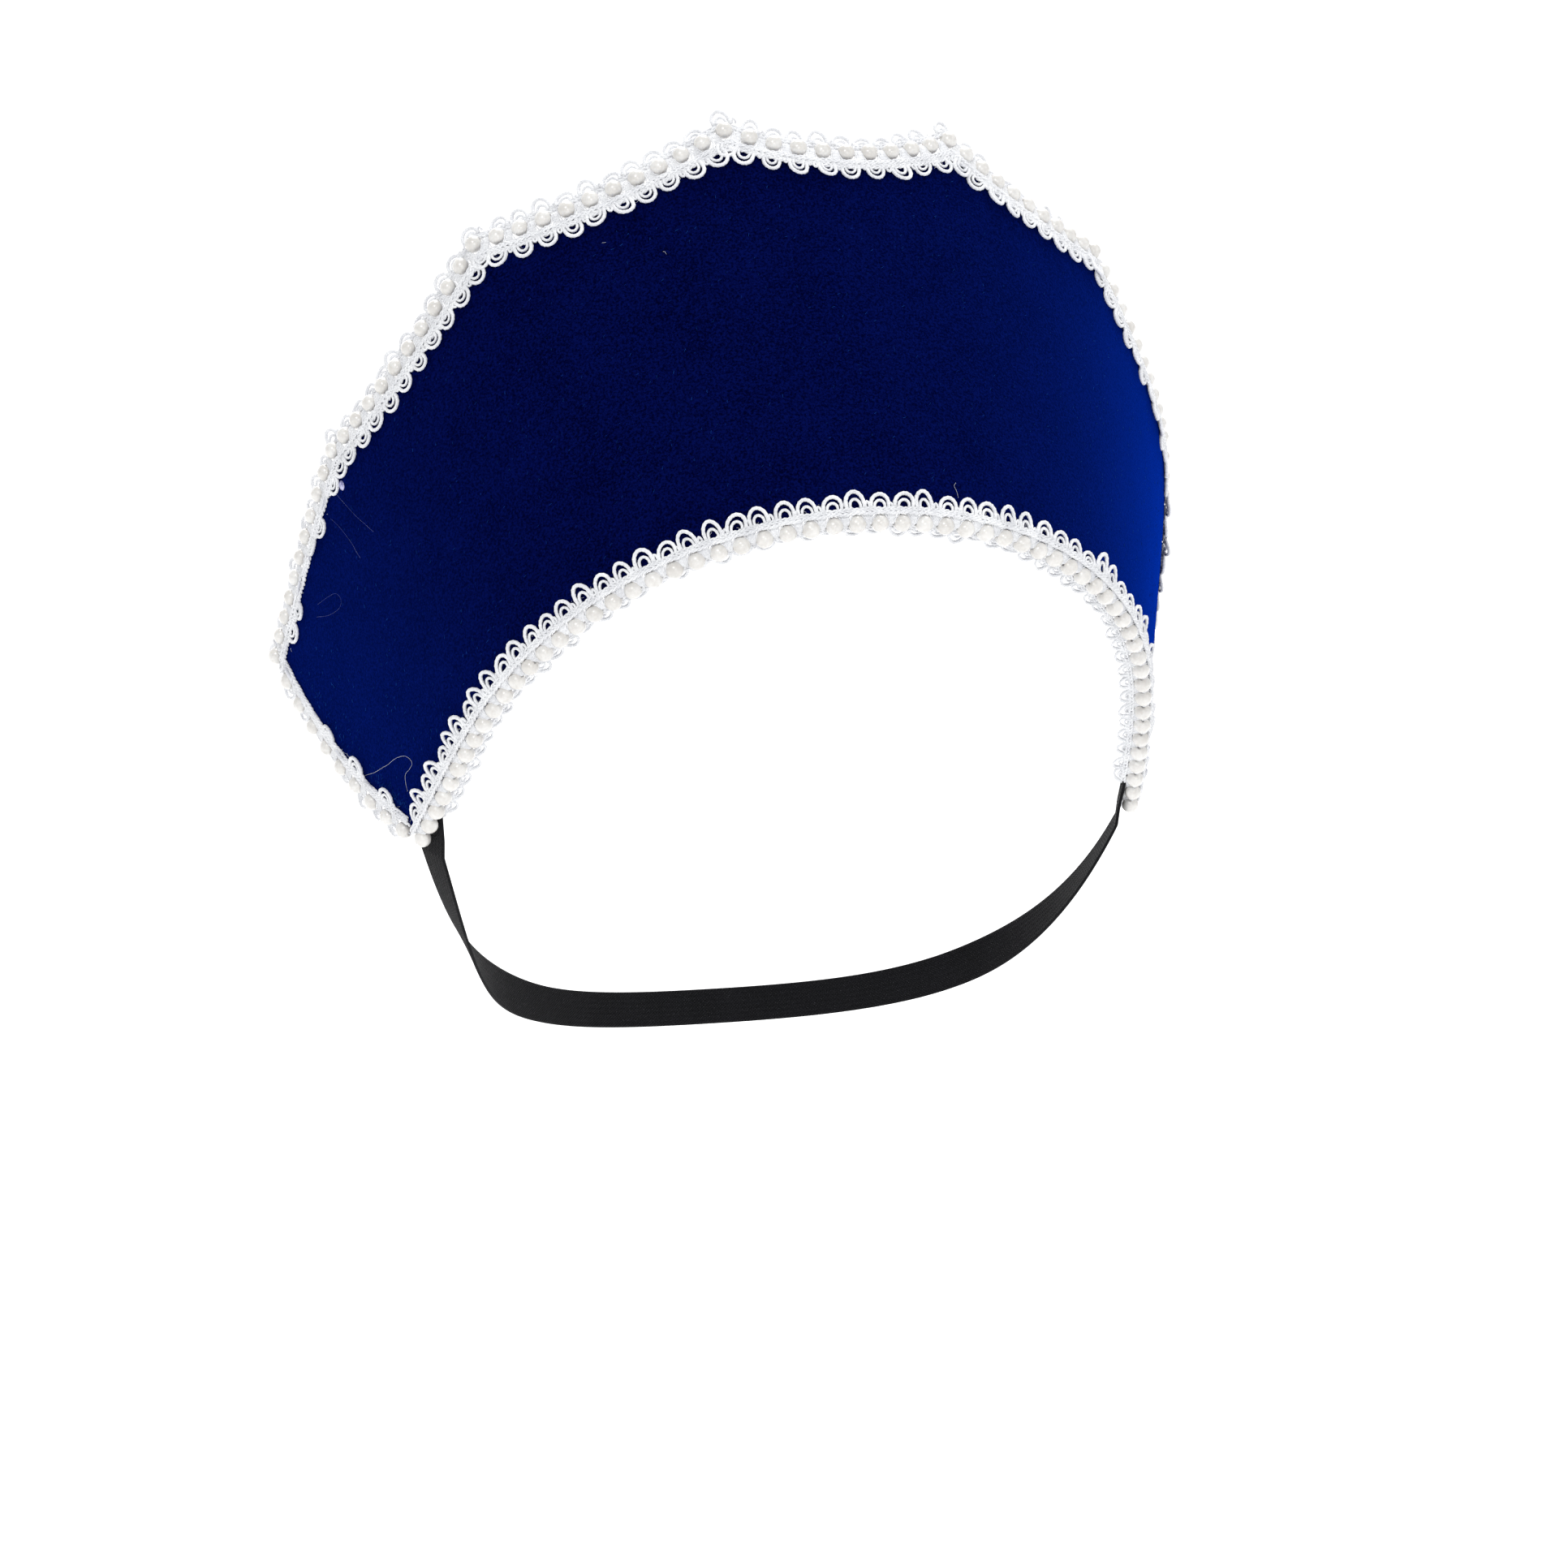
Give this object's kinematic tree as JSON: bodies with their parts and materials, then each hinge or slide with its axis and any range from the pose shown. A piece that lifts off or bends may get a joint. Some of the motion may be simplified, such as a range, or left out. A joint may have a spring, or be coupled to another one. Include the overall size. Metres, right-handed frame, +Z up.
{
  "type": "costume coronet",
  "caption": "Tall crescent coronet in deep blue velvet with scalloped top, white looped braid and pearls along both rims, and a black elastic round the nape.",
  "frame": {"origin": "middle of the head inside the coronet, level with the middle of the ring that the lower rim and the nape elastic make", "axes": "+Z up, the wearer looks along -Y, +X to the right of someone facing the wearer"},
  "size_m": [0.2753, 0.1578, 0.2822],
  "materials": {
    "blue_velvet": "short cut pile, matt with a blue sheen at grazing angles",
    "slate_lining": "matt plain weave",
    "white_gimp": "matt twisted cord",
    "pearl": "pearly coat on plastic beads",
    "black_elastic": "ribbed woven elastic"
  },
  "bodies": {
    "root": {"velvet_plate": "blue_velvet", "back_lining": "slate_lining", "outer_braid_front": "white_gimp", "outer_braid_back": "white_gimp", "inner_braid_front": "white_gimp", "inner_braid_back": "white_gimp", "outer_pearls": "pearl", "inner_pearls": "pearl", "nape_elastic": "black_elastic"}
  },
  "joints": []
}
